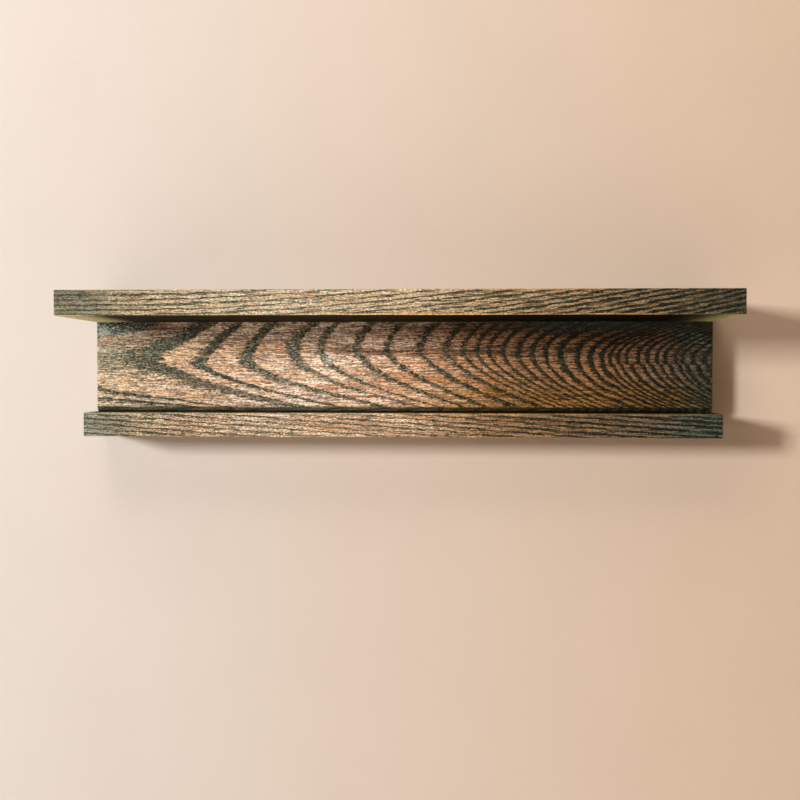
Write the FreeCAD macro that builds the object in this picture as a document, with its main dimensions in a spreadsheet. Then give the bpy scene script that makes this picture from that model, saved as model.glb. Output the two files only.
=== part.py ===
import FreeCAD, Part
import math
import os
import re
import Sketcher

# Wall-hung display shelf: a top board, a back board and a bottom ledge, dowelled, glued and pocket-screwed,
# on two keyhole hangers let into the back. Millimetres and degrees.
# The origin is the middle of the back board's rear face, on the wall. +X runs along the shelf, +Y into the
# wall and +Z up, so the front faces -Y.

SIZES = {
    # The boards, cut to one length
    "length": 610.0,
    "top_depth": 140.0,
    "top_thickness": 23.0,
    "back_height": 89.0,
    "back_thickness": 23.0,
    "ledge_depth": 64.0,
    "ledge_thickness": 23.0,
    "arris_radius": 1.0,
    "back_chamfer": 4.0,
    # Dowels, from the board faces into the back board's edges
    "dowel_diameter": 8.0,
    "dowel_length": 35.0,
    "dowel_chamfer": 1.0,
    "dowel_board_depth": 13.0,
    "dowel_end_inset": 25.0,
    "dowel_fit": 0.1,
    "glue_gap": 1.0,
    # Pocket screws, from the rear face through the back board's edges
    "pocket_angle": 15.0,
    "pocket_diameter": 9.5,
    "pocket_shoulder": 15.0,
    "pocket_runout": 4.0,
    "pocket_screw_length": 32.0,
    "pocket_screw_diameter": 4.2,
    "pocket_screw_tip": 5.0,
    "pocket_washer_diameter": 8.6,
    "pocket_washer_thickness": 1.2,
    "pocket_head_diameter": 6.6,
    "pocket_head_height": 3.0,
    "pocket_drive_width": 2.8,
    "pocket_drive_depth": 2.2,
    "screw_fit": 0.1,
    "tip_gap": 0.5,
    # Keyhole hangers, one wall stud apart
    "hanger_spacing": 406.4,
    "hanger_length": 50.0,
    "hanger_width": 18.0,
    "hanger_thickness": 2.0,
    "hanger_set": 0.2,
    "hanger_fit": 0.2,
    "entry_diameter": 10.0,
    "entry_drop": 6.0,
    "slot_width": 5.0,
    "slot_rise": 11.0,
    "head_room_depth": 9.0,
    "head_room_margin": 1.5,
    # Countersunk screws of the hangers
    "hanger_screw_spacing": 38.0,
    "hanger_screw_length": 16.0,
    "hanger_screw_diameter": 3.5,
    "hanger_screw_tip": 4.0,
    "hanger_head_diameter": 6.4,
    "cross_length": 3.6,
    "cross_width": 0.9,
    "cross_depth": 1.2,
}

# The dowels stand evenly along each joint, and the pocket screws stand clear of them and of each other.
# A row of screws reaches a number of dowel pitches to each side of the middle.
DOWEL_COUNT = 6
DOWEL_PITCH = f"((length - 2 * dowel_end_inset) / {DOWEL_COUNT - 1})"
TOP_SCREW_COUNT = 4
TOP_REACH_COUNT = 2
LEDGE_SCREW_COUNT = 2
LEDGE_REACH_COUNT = 1
SCREW_COUNT = {"top": TOP_SCREW_COUNT, "ledge": LEDGE_SCREW_COUNT}
SCREW_REACH_COUNT = {"top": TOP_REACH_COUNT, "ledge": LEDGE_REACH_COUNT}

# Half heights of the back board, where the other two boards meet it
UPPER_JOINT = "(back_height / 2)"
LOWER_JOINT = "(-back_height / 2)"
JOINT_HEIGHT = {"top": UPPER_JOINT, "ledge": LOWER_JOINT}
JOINT_DEPTH = "(-back_thickness / 2)"
RECESS_DEPTH = "(hanger_set + hanger_thickness)"

CUT_MARGIN = 2.0
TURN_DEGREES = 360.0
LEAST_CUT = 1.0

Vector = FreeCAD.Vector
X_AXIS = Vector(1, 0, 0)
Z_AXIS = Vector(0, 0, 1)
SIZE_WORD = re.compile(r"[a-z][a-z_]*")

doc = FreeCAD.newDocument("DisplayShelf")
sheet = doc.addObject("Spreadsheet::Sheet", "Sizes")


def fill_sheet():
    for row, (alias, number) in enumerate(SIZES.items(), start=1):
        sheet.set(f"A{row}", alias)
        sheet.set(f"B{row}", str(number))
        sheet.setAlias(f"B{row}", alias)
    doc.recompute()


# Formulas over the sizes

def cells(formula):
    """The formula with each size read from its cell."""
    return SIZE_WORD.sub(lambda word: f"Sizes.{word[0]}" if word[0] in SIZES else word[0], formula)


def bind(thing, prop, formula):
    thing.setExpression(prop, cells(formula))


def value(formula):
    return float(sheet.evalExpression(cells(formula)))


# Sketches

def sketch_on(body, role, name, across="0", up="0", out="0", turn=None):
    """A sketch on one of the body's origin planes, moved along the plane's own axes and turned in it."""
    sketch = body.newObject("Sketcher::SketchObject", name)
    plane = next(item for item in body.Origin.OriginFeatures if item.Role == role)
    sketch.AttachmentSupport = [(plane, "")]
    sketch.MapMode = "FlatFace"
    start_turn = FreeCAD.Rotation(Z_AXIS, value(turn)) if turn else FreeCAD.Rotation()
    sketch.AttachmentOffset = FreeCAD.Placement(Vector(), start_turn)
    for letter, formula in (("x", across), ("y", up), ("z", out)):
        bind(sketch, f"AttachmentOffset.Base.{letter}", formula)
    if turn:
        bind(sketch, "AttachmentOffset.Rotation.Angle", turn)
    return sketch


def add_size(sketch, name, formula, *constraint):
    number = sketch.addConstraint(Sketcher.Constraint(*constraint, value(formula)))
    sketch.renameConstraint(number, name)
    bind(sketch, f"Constraints.{name}", formula)


def place_point(sketch, item, point, name, across, up):
    """Ties a point of a sketch item to the sketch's origin."""
    add_size(sketch, f"{name}_across", across, "DistanceX", -1, 1, item, point)
    add_size(sketch, f"{name}_up", up, "DistanceY", -1, 1, item, point)


def draw_polygon(sketch, corners):
    """A closed outline through corners, each a pair of formulas."""
    places = [Vector(value(across), value(up), 0) for across, up in corners]
    count = len(corners)
    lines = [sketch.addGeometry(Part.LineSegment(places[i], places[(i + 1) % count]), False)
             for i in range(count)]
    for i, (across, up) in enumerate(corners):
        sketch.addConstraint(Sketcher.Constraint("Coincident", lines[i], 2, lines[(i + 1) % count], 1))
        place_point(sketch, lines[i], 1, f"corner{i}", across, up)


def draw_rectangle(sketch, left, right, low, high):
    draw_polygon(sketch, [(left, low), (right, low), (right, high), (left, high)])


def draw_circle(sketch, across, up, diameter):
    centre = Vector(value(across), value(up), 0)
    circle = sketch.addGeometry(Part.Circle(centre, Z_AXIS, value(diameter) / 2), False)
    place_point(sketch, circle, 3, "centre", across, up)
    add_size(sketch, "diameter", diameter, "Diameter", circle)


def draw_slot(sketch, low, high, width):
    """An upright slot with round ends, whose ends are centred at low and high."""
    radius = value(width) / 2
    bottom = Vector(0, value(low), 0)
    top = Vector(0, value(high), 0)
    side = Vector(radius, 0, 0)
    right = sketch.addGeometry(Part.LineSegment(bottom + side, top + side), False)
    upper = sketch.addGeometry(Part.ArcOfCircle(Part.Circle(top, Z_AXIS, radius), 0, math.pi), False)
    left = sketch.addGeometry(Part.LineSegment(top - side, bottom - side), False)
    lower = sketch.addGeometry(
        Part.ArcOfCircle(Part.Circle(bottom, Z_AXIS, radius), math.pi, 2 * math.pi), False)
    loop = [right, upper, left, lower]
    for item, following in zip(loop, loop[1:] + loop[:1]):
        sketch.addConstraint(Sketcher.Constraint("Tangent", item, 2, following, 1))
    sketch.addConstraint(Sketcher.Constraint("Vertical", right))
    place_point(sketch, upper, 3, "upper", "0", high)
    place_point(sketch, lower, 3, "lower", "0", low)
    add_size(sketch, "radius", f"{width} / 2", "Radius", upper)


# Features

def new_body(label):
    body = doc.addObject("PartDesign::Body", label)
    body.Label = label
    return body


def pad(body, sketch, name, length, side="One side", reverse=False):
    feature = body.newObject("PartDesign::Pad", name)
    feature.Profile = sketch
    feature.SideType = side
    feature.Reversed = reverse
    bind(feature, "Length", length)
    doc.recompute()
    return feature


def cut_checked(body, feature):
    """Recomputes a cut and stops where it took nothing away."""
    before = body.Shape.Volume
    doc.recompute()
    if before - feature.Shape.Volume < LEAST_CUT:
        raise RuntimeError(f"{body.Label}: {feature.Name} cuts nothing")
    return feature


def pocket(body, sketch, name, depth, reverse=False):
    feature = body.newObject("PartDesign::Pocket", name)
    feature.Profile = sketch
    feature.Reversed = reverse
    bind(feature, "Length", depth)
    return cut_checked(body, feature)


def turned(body, sketch, name, kind):
    """A Revolution or a Groove of a half profile about the sketch's upright axis."""
    feature = body.newObject(f"PartDesign::{kind}", name)
    feature.Profile = sketch
    feature.ReferenceAxis = (sketch, ["V_Axis"])
    feature.Angle = TURN_DEGREES
    if kind == "Groove":
        return cut_checked(body, feature)
    doc.recompute()
    return feature


def row_along_x(body, feature, name, run, count):
    """Repeats a cut along X, count times over the run."""
    pattern = body.newObject("PartDesign::LinearPattern", name)
    pattern.Originals = [feature]
    axis = next(item for item in body.Origin.OriginFeatures if item.Role == "X_Axis")
    pattern.Direction = (axis, [""])
    pattern.Occurrences = count
    bind(pattern, "Length", run)
    body.Tip = pattern
    return cut_checked(body, pattern)


def ease_arrises(body, base, name, keeps_sharp):
    """Rounds every edge of the base but those that keeps_sharp picks by their middle."""
    chosen = []
    for number, edge in enumerate(base.Shape.Edges, start=1):
        if not keeps_sharp(edge.CenterOfMass):
            chosen.append(f"Edge{number}")
    feature = body.newObject("PartDesign::Fillet", name)
    feature.Base = (base, chosen)
    bind(feature, "Radius", "arris_radius")
    return cut_checked(body, feature)


def place(body, across="0", depth="0", height="0", tilt=None):
    """Puts a body in the shelf's frame, turned about X by tilt."""
    turn = FreeCAD.Rotation(X_AXIS, value(tilt)) if tilt else FreeCAD.Rotation()
    body.Placement = FreeCAD.Placement(Vector(), turn)
    for letter, formula in (("x", across), ("y", depth), ("z", height)):
        bind(body, f"Placement.Base.{letter}", formula)
    if tilt:
        bind(body, "Placement.Rotation.Angle", tilt)


# The joints that the three boards share

def bore_dowel_row(body, name, face_height, depth, upwards):
    """A row of dowel holes bored up or down from a face of a board."""
    sketch = sketch_on(body, "XY_Plane", f"{name}_centre", out=face_height)
    draw_circle(sketch, "dowel_end_inset - length / 2", JOINT_DEPTH, "dowel_diameter + 2 * dowel_fit")
    first = pocket(body, sketch, name, depth, reverse=upwards)
    row_along_x(body, first, f"{name}_row", "length - 2 * dowel_end_inset", DOWEL_COUNT)


def bore_slanted_row(body, name, face_height, joint, profile):
    """A row of slanted bores turned from a half profile, whose axis crosses the joint's middle line."""
    reach = SCREW_REACH_COUNT[joint]
    sketch = sketch_on(body, "YZ_Plane", f"{name}_profile", across=JOINT_DEPTH, up=face_height,
                       out=f"-{reach} * {DOWEL_PITCH}", turn=SCREW_TILT[joint])
    draw_polygon(sketch, profile)
    first = turned(body, sketch, name, "Groove")
    row_along_x(body, first, f"{name}_row", f"{2 * reach} * {DOWEL_PITCH}", SCREW_COUNT[joint])


PILOT_RADIUS = "(pocket_screw_diameter / 2 + screw_fit)"
PILOT_DEPTH = "(pocket_screw_length - pocket_shoulder + tip_gap)"
PILOT_PROFILE = [
    ("0", f"-{CUT_MARGIN}"),
    (PILOT_RADIUS, f"-{CUT_MARGIN}"),
    (PILOT_RADIUS, PILOT_DEPTH),
    ("0", PILOT_DEPTH),
]

# The pocket runs from its shoulder until it has left the rear face.
POCKET_RUN = ("((back_thickness / 2 + pocket_diameter / 2 * cos(pocket_angle)) / sin(pocket_angle)"
              " + pocket_runout)")
POCKET_PROFILE = [
    ("0", f"{CUT_MARGIN}"),
    (PILOT_RADIUS, f"{CUT_MARGIN}"),
    (PILOT_RADIUS, "-pocket_shoulder"),
    ("pocket_diameter / 2", "-pocket_shoulder"),
    ("pocket_diameter / 2", f"-{POCKET_RUN}"),
    ("0", f"-{POCKET_RUN}"),
]
SCREW_TILT = {"top": "pocket_angle", "ledge": "180 - pocket_angle"}


# The boards

def flat_board(label, depth, thickness, joint):
    """A board that lies on the back board's upper edge, or hangs under its lower edge."""
    upper = joint == "top"
    body = new_body(label)
    outline = sketch_on(body, "XY_Plane", f"{label}_outline")
    draw_rectangle(outline, "-length / 2", "length / 2", f"-{depth}", "0")
    blank = pad(body, outline, f"{label}_blank", thickness, reverse=not upper)
    on_wall = value("arris_radius") / 2
    ease_arrises(body, blank, f"{label}_arrises", lambda middle: middle.y > -on_wall)
    bore_dowel_row(body, f"{label}_dowel_hole", "0", "dowel_board_depth", upwards=upper)
    bore_slanted_row(body, f"{label}_pilot", "0", joint, PILOT_PROFILE)
    place(body, height=JOINT_HEIGHT[joint])
    return body


def back_board():
    body = new_body("back_board")
    section = sketch_on(body, "YZ_Plane", "back_section")
    draw_polygon(section, [
        ("0", LOWER_JOINT),
        ("0", UPPER_JOINT),
        ("-back_thickness", UPPER_JOINT),
        ("-back_thickness", f"{LOWER_JOINT} + back_chamfer"),
        ("back_chamfer - back_thickness", LOWER_JOINT),
    ])
    blank = pad(body, section, "back_blank", "length", side="Symmetric")
    front = value("back_thickness - arris_radius / 2")
    end = value("length / 2 - arris_radius / 2")
    ease_arrises(body, blank, "back_arrises", lambda middle: middle.y > -front or abs(middle.x) < end)
    hole_depth = "dowel_length - dowel_board_depth + glue_gap"
    bore_dowel_row(body, "upper_dowel_hole", UPPER_JOINT, hole_depth, upwards=False)
    bore_dowel_row(body, "lower_dowel_hole", LOWER_JOINT, hole_depth, upwards=True)
    bore_slanted_row(body, "upper_pocket", UPPER_JOINT, "top", POCKET_PROFILE)
    bore_slanted_row(body, "lower_pocket", LOWER_JOINT, "ledge", POCKET_PROFILE)
    cut_hanger_seats(body)
    place(body)
    return body


# A hanger's outline and keyhole, measured from the plate's middle

PLATE_ROUND = "((hanger_length - hanger_width) / 2)"
ENTRY_HEIGHT = "-entry_drop"
SLOT_TOP = "(slot_rise - entry_drop)"


def cut_hanger_seats(body):
    """The recess of each hanger, the room for a wall screw's head behind it, and its screws' pilot holes."""
    first = "-hanger_spacing / 2"
    recess = sketch_on(body, "XZ_Plane", "hanger_recess_outline", across=first)
    draw_slot(recess, f"-{PLATE_ROUND}", PLATE_ROUND, "(hanger_width + 2 * hanger_fit)")
    seat = pocket(body, recess, "hanger_recess", RECESS_DEPTH, reverse=True)
    row_along_x(body, seat, "hanger_recess_row", "hanger_spacing", len(HANGER_SIDES))

    room = sketch_on(body, "XZ_Plane", "head_room_outline", across=first)
    draw_slot(room, ENTRY_HEIGHT, SLOT_TOP, "(entry_diameter + 2 * head_room_margin)")
    hollow = pocket(body, room, "head_room", f"{RECESS_DEPTH} + head_room_depth", reverse=True)
    row_along_x(body, hollow, "head_room_row", "hanger_spacing", len(HANGER_SIDES))

    for name, height in HANGER_SCREW_HEIGHTS:
        pilot = sketch_on(body, "XZ_Plane", f"hanger_{name}_pilot_centre", across=first)
        draw_circle(pilot, "0", height, "hanger_screw_diameter + 2 * screw_fit")
        hole = pocket(body, pilot, f"hanger_{name}_pilot", "hanger_set + hanger_screw_length + tip_gap",
                      reverse=True)
        row_along_x(body, hole, f"hanger_{name}_pilot_row", "hanger_spacing", len(HANGER_SIDES))


HANGER_SCREW_HEIGHTS = (("upper", "hanger_screw_spacing / 2"), ("lower", "-hanger_screw_spacing / 2"))
HANGER_SIDES = (("left", "-hanger_spacing / 2"), ("right", "hanger_spacing / 2"))


# Hangers and fasteners

def hanger_plate(label, across):
    """A round-ended steel plate with a keyhole between two countersunk holes, its outer face at y = 0."""
    body = new_body(label)
    outline = sketch_on(body, "XZ_Plane", f"{label}_outline")
    draw_slot(outline, f"-{PLATE_ROUND}", PLATE_ROUND, "hanger_width")
    pad(body, outline, f"{label}_blank", "hanger_thickness")
    entry = sketch_on(body, "XZ_Plane", f"{label}_entry_outline")
    draw_circle(entry, "0", ENTRY_HEIGHT, "entry_diameter")
    pocket(body, entry, f"{label}_entry", "hanger_thickness", reverse=True)
    slot = sketch_on(body, "XZ_Plane", f"{label}_slot_outline")
    draw_slot(slot, ENTRY_HEIGHT, SLOT_TOP, "slot_width")
    pocket(body, slot, f"{label}_slot", "hanger_thickness", reverse=True)
    shank = "(hanger_screw_diameter / 2 + screw_fit)"
    mouth = "(hanger_head_diameter / 2 + screw_fit)"
    for name, height in HANGER_SCREW_HEIGHTS:
        sink = sketch_on(body, "YZ_Plane", f"{label}_{name}_sink_profile", up=height, turn="90")
        draw_polygon(sink, [
            ("0", "0"),
            (mouth, "0"),
            (shank, f"{mouth} - {shank}"),
            (shank, f"hanger_thickness + {CUT_MARGIN}"),
            ("0", f"hanger_thickness + {CUT_MARGIN}"),
        ])
        turned(body, sink, f"{label}_{name}_sink", "Groove")
    place(body, across=across, depth="-hanger_set")
    return body


def hanger_screw(label, across, height):
    """A countersunk screw with a cross recess, its head at z = 0 and its tip up +Z before it is placed."""
    body = new_body(label)
    head = "hanger_head_diameter / 2"
    shank = "hanger_screw_diameter / 2"
    profile = sketch_on(body, "XZ_Plane", f"{label}_profile")
    draw_polygon(profile, [
        ("0", "0"),
        (head, "0"),
        (shank, f"{head} - {shank}"),
        (shank, "hanger_screw_length - hanger_screw_tip"),
        ("0", "hanger_screw_length"),
    ])
    turned(body, profile, f"{label}_turning", "Revolution")
    reach = "cross_length / 2"
    half = "cross_width / 2"
    cross = sketch_on(body, "XY_Plane", f"{label}_cross_outline")
    draw_polygon(cross, [
        (half, half), (reach, half), (reach, f"-{half}"), (half, f"-{half}"),
        (half, f"-{reach}"), (f"-{half}", f"-{reach}"), (f"-{half}", f"-{half}"), (f"-{reach}", f"-{half}"),
        (f"-{reach}", half), (f"-{half}", half), (f"-{half}", reach), (half, reach),
    ])
    pocket(body, cross, f"{label}_cross", "cross_depth", reverse=True)
    place(body, across=across, depth="-hanger_set", height=height, tilt="90")
    return body


def pocket_screw(joint, index):
    """A washer-head screw with a square drive, seated on its pocket's shoulder."""
    label = f"{joint}_pocket_screw_{index + 1}"
    body = new_body(label)
    shank = "pocket_screw_diameter / 2"
    washer = "pocket_washer_diameter / 2"
    head = "pocket_head_diameter / 2"
    profile = sketch_on(body, "XZ_Plane", f"{label}_profile")
    draw_polygon(profile, [
        ("0", "-pocket_head_height"),
        (head, "-pocket_head_height"),
        (head, "-pocket_washer_thickness"),
        (washer, "-pocket_washer_thickness"),
        (washer, "0"),
        (shank, "0"),
        (shank, "pocket_screw_length - pocket_screw_tip"),
        ("0", "pocket_screw_length"),
    ])
    turned(body, profile, f"{label}_turning", "Revolution")
    drive = sketch_on(body, "XY_Plane", f"{label}_drive_outline", out="-pocket_head_height")
    half = "pocket_drive_width / 2"
    draw_rectangle(drive, f"-{half}", half, f"-{half}", half)
    pocket(body, drive, f"{label}_drive", "pocket_drive_depth", reverse=True)
    reach = SCREW_REACH_COUNT[joint]
    place(body, across=f"({2 * reach * index} / {SCREW_COUNT[joint] - 1} - {reach}) * {DOWEL_PITCH}",
          depth=f"{JOINT_DEPTH} + pocket_shoulder * sin(pocket_angle)",
          height=f"{JOINT_HEIGHT[joint]} - pocket_shoulder * cos({SCREW_TILT[joint]})",
          tilt=SCREW_TILT[joint])
    return body


DOWEL_LOWER_END = {
    "top": f"{UPPER_JOINT} + dowel_board_depth - dowel_length",
    "ledge": f"{LOWER_JOINT} - dowel_board_depth",
}


def dowel(joint, index):
    """A dowel with chamfered ends, whose lower end is at z = 0 before it is placed."""
    label = f"{joint}_dowel_{index + 1}"
    body = new_body(label)
    radius = "dowel_diameter / 2"
    profile = sketch_on(body, "XZ_Plane", f"{label}_profile")
    draw_polygon(profile, [
        ("0", "0"),
        (f"{radius} - dowel_chamfer", "0"),
        (radius, "dowel_chamfer"),
        (radius, "dowel_length - dowel_chamfer"),
        (f"{radius} - dowel_chamfer", "dowel_length"),
        ("0", "dowel_length"),
    ])
    turned(body, profile, f"{label}_turning", "Revolution")
    place(body, across=f"dowel_end_inset - length / 2 + {index} * {DOWEL_PITCH}", depth=JOINT_DEPTH,
          height=DOWEL_LOWER_END[joint])
    return body


# The whole shelf

def build_shelf():
    pieces = [
        flat_board("top_board", "top_depth", "top_thickness", "top"),
        back_board(),
        flat_board("bottom_ledge", "ledge_depth", "ledge_thickness", "ledge"),
    ]
    for joint in JOINT_HEIGHT:
        pieces += [dowel(joint, index) for index in range(DOWEL_COUNT)]
    for joint, count in SCREW_COUNT.items():
        pieces += [pocket_screw(joint, index) for index in range(count)]
    for side, across in HANGER_SIDES:
        pieces.append(hanger_plate(f"{side}_hanger_plate", across))
        for name, height in HANGER_SCREW_HEIGHTS:
            pieces.append(hanger_screw(f"{side}_hanger_{name}_screw", across, height))
    return pieces


def check_document(pieces):
    """Stops before anything is written where a feature failed or a piece isn't one sound solid."""
    doc.recompute()
    for item in doc.Objects:
        if "Invalid" in item.State or "Error" in item.State:
            raise RuntimeError(f"{item.Label}: {item.State}")
    for piece in pieces:
        shape = piece.Shape
        if shape.isNull() or not shape.isValid() or len(shape.Solids) != 1:
            raise RuntimeError(f"{piece.Label} isn't one valid solid")


def write_parts(pieces):
    os.makedirs("parts", exist_ok=True)
    for piece in pieces:
        piece.Shape.exportStep(os.path.join("parts", f"{piece.Label}.step"))
        box = piece.Shape.optimalBoundingBox(False)
        print(f"{piece.Label}: {box.XLength:.2f} x {box.YLength:.2f} x {box.ZLength:.2f} mm,"
              f" {piece.Shape.Volume:.1f} mm3")


fill_sheet()
shelf = build_shelf()
check_document(shelf)
write_parts(shelf)
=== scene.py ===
import math

import bpy
from mathutils import Matrix, Vector


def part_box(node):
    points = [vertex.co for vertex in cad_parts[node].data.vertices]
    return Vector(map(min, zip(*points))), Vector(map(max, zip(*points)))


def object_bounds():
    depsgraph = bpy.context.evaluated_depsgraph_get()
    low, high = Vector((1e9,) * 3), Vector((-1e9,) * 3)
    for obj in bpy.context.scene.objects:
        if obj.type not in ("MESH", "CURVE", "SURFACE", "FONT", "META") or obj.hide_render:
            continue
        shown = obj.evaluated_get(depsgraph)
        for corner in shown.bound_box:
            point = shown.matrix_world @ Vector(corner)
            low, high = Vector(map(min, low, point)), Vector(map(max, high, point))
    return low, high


# A wall-hung display shelf of three stained oak boards, with its finishes, a wall behind it and soft light.
# Lengths inside the finishes are millimetres in the shelf's own frame. Blender's own places are metres.

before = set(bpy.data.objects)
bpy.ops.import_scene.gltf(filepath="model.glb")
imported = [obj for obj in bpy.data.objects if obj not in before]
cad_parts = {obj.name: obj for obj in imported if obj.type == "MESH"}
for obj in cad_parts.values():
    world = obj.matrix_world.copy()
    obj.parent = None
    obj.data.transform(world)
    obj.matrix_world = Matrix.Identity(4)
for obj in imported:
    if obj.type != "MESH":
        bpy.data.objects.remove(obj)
cad_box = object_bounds()

MM = 1000.0


# Fields: numbers that vary over a surface, written as formulas

class Field:
    """One output socket of a material's nodes, with plain arithmetic."""

    def __init__(self, graph, socket):
        self.graph = graph
        self.socket = socket

    def __add__(self, other):
        return self.graph.math("ADD", self, other)

    def __radd__(self, other):
        return self.graph.math("ADD", other, self)

    def __sub__(self, other):
        return self.graph.math("SUBTRACT", self, other)

    def __rsub__(self, other):
        return self.graph.math("SUBTRACT", other, self)

    def __mul__(self, other):
        return self.graph.math("MULTIPLY", self, other)

    def __rmul__(self, other):
        return self.graph.math("MULTIPLY", other, self)

    def __truediv__(self, other):
        return self.graph.math("DIVIDE", self, other)

    def __pow__(self, other):
        return self.graph.math("POWER", self, other)


class Graph:
    """The nodes of one material."""

    def __init__(self, name):
        self.material = bpy.data.materials.new(name)
        self.material.use_nodes = True
        self.tree = self.material.node_tree
        self.shader = self.tree.nodes["Principled BSDF"]

    def node(self, kind, **settings):
        node = self.tree.nodes.new("ShaderNode" + kind)
        for name, setting in settings.items():
            setattr(node, name, setting)
        return node

    def put(self, socket, value):
        if isinstance(value, Field):
            self.tree.links.new(value.socket, socket)
        else:
            socket.default_value = value

    def math(self, operation, *values):
        node = self.node("Math", operation=operation)
        for socket, value in zip(node.inputs, values):
            self.put(socket, value)
        return Field(self, node.outputs[0])

    def absolute(self, value):
        return self.math("ABSOLUTE", value)

    def place(self):
        """The place of a surface point in the shelf's frame, in millimetres."""
        parts = self.node("SeparateXYZ")
        self.tree.links.new(self.node("TexCoord").outputs["Object"], parts.inputs[0])
        return [Field(self, socket) * MM for socket in parts.outputs]

    def smallest(self, first, second):
        return self.math("MINIMUM", first, second)

    def largest(self, first, second):
        return self.math("MAXIMUM", first, second)

    def rise(self, value, low, high):
        """A smooth step from 0 at low to 1 at high."""
        node = self.node("MapRange", interpolation_type="SMOOTHSTEP")
        for socket, number in zip(node.inputs, (value, low, high, 0.0, 1.0)):
            self.put(socket, number)
        return Field(self, node.outputs[0])

    def fall(self, value, low, high):
        """A smooth step from 1 at low to 0 at high."""
        return 1.0 - self.rise(value, low, high)

    def grain(self, place, sizes, seed, detail=2.0, roughness=0.5):
        """Noise from 0 to 1, about 0.5, whose features have these sizes along x, y and z."""
        vector = self.node("CombineXYZ")
        for socket, part, size in zip(vector.inputs, place, sizes):
            self.put(socket, part / size + seed)
        noise = self.node("TexNoise")
        self.tree.links.new(vector.outputs[0], noise.inputs["Vector"])
        noise.inputs["Scale"].default_value = 1.0
        noise.inputs["Detail"].default_value = detail
        noise.inputs["Roughness"].default_value = roughness
        return Field(self, noise.outputs[0])

    def chance(self, value, seed):
        """A number from 0 to 1 that is the same wherever the value is the same."""
        node = self.node("TexWhiteNoise", noise_dimensions="1D")
        self.put(node.inputs["W"], value + seed)
        return Field(self, node.outputs[0])

    def curve(self, value, points, handles="AUTO_CLAMPED"):
        """The value taken along a line through the points, level beyond its ends."""
        start, end = points[0][0], points[-1][0]
        low = min(level for _, level in points)
        high = max(level for _, level in points)
        node = self.node("FloatCurve")
        line = node.mapping.curves[0]
        shares = [((at - start) / (end - start), (level - low) / (high - low)) for at, level in points]
        line.points[0].location = shares[0]
        line.points[1].location = shares[-1]
        for share in shares[1:-1]:
            line.points.new(*share)
        for point in line.points:
            point.handle_type = handles
        node.mapping.update()
        self.put(node.inputs["Value"], (value - start) / (end - start))
        return Field(self, node.outputs[0]) * (high - low) + low

    def ramp(self, value, stops):
        """The colour along a row of stops, each a place and a tone."""
        start, end = stops[0][0], stops[-1][0]
        node = self.node("ValToRGB")
        elements = node.color_ramp.elements
        while len(elements) < len(stops):
            elements.new(1.0)
        for element, (at, colour) in zip(elements, stops):
            element.position = (at - start) / (end - start)
            element.color = colour
        self.put(node.inputs[0], (value - start) / (end - start))
        return Field(self, node.outputs[0])

    def mix(self, first, second, share, blend="MIX"):
        """One colour laid over another."""
        node = self.node("Mix", data_type="RGBA", blend_type=blend)
        colours = [socket for socket in node.inputs if socket.type == "RGBA"]
        self.put(node.inputs[0], share)
        self.put(colours[0], first)
        self.put(colours[1], second)
        return Field(self, next(socket for socket in node.outputs if socket.type == "RGBA"))

    def bump(self, height, distance_mm):
        node = self.node("Bump")
        node.inputs["Strength"].default_value = 1.0
        node.inputs["Distance"].default_value = distance_mm / MM
        self.put(node.inputs["Height"], height)
        self.tree.links.new(node.outputs[0], self.shader.inputs["Normal"])

    def set(self, **sockets):
        """Sets the shader's own sockets, by their names in lower case."""
        labels = {label.lower().replace(" ", "_"): label for label in self.shader.inputs.keys()}
        for name, value in sockets.items():
            self.put(self.shader.inputs[labels[name]], value)


def tone(red, green, blue):
    """A colour given as it shows on a screen, from 0 to 255."""
    def linear(level):
        share = level / 255
        return share / 12.92 if share <= 0.04045 else ((share + 0.055) / 1.055) ** 2.4
    return (linear(red), linear(green), linear(blue), 1.0)


# One board under its finish. From here on, a pair of numbers holds the two ends of a smooth step: places in
# millimetres or, for a noise, levels from 0 to 1. A name with FROM or ABOVE says where a mark comes in, and
# one with TO or UNDER says where it goes out. Only a pair named PLACE is a point's x and z.

NOISE_MIDDLE = 0.5
PORE_HAIRS = (0.57, 0.68)
PORES_CLOSE = (40, 220)


def swing(noise):
    """A noise about zero."""
    return noise - NOISE_MIDDLE


class Board:
    """One board's nodes and box, a surface point's place and distances, and the noises along the grain."""

    def __init__(self, node, material_name, seed):
        self.low, self.high = (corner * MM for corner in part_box(node))
        self.graph = Graph(material_name)
        self.place = self.graph.place()
        self.x, self.y, self.z = self.place
        self.from_front = self.y - self.low.y
        self.from_bottom = self.z - self.low.z
        self.from_top = self.high.z - self.z
        self.seed = seed
        self.fibre = self.noise(sizes=(22, 1.25, 1.25), shift=0.0, roughness=0.65)
        self.tooth = self.noise(sizes=(8, 1.2, 1.2), shift=31.3, detail=1)
        self.streak = self.noise(sizes=(80, 3, 3), shift=11.3, detail=3)
        self.wave = self.noise(sizes=(24, 5, 5), shift=17.9)
        self.cloud = self.noise(sizes=(110, 22, 22), shift=23.7)
        self.fleck = self.noise(sizes=(2.4, 1.3, 1.3), shift=41.9, roughness=0.7)
        self.speck = self.noise(sizes=(1.5, 1.0, 1.0), shift=57.1, detail=1)
        self.grit = self.noise(sizes=(2.2, 1.1, 1.1), shift=73.3, detail=0)
        self.salt = self.noise(sizes=(2.2, 1.4, 1.4), shift=83.9, detail=1)
        hair = self.noise(sizes=(8, 0.8, 0.8), shift=7.7, detail=1)
        self.pore = self.graph.rise(hair, *PORE_HAIRS) * (1.0 - self.graph.rise(self.x, *PORES_CLOSE) * 0.5)

    def noise(self, sizes, shift, detail=2, roughness=0.5):
        return self.graph.grain(self.place, sizes, self.seed + shift, detail, roughness)


# The growth rings of each board: a number that passes a whole value at every ring's sharp inner edge

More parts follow.
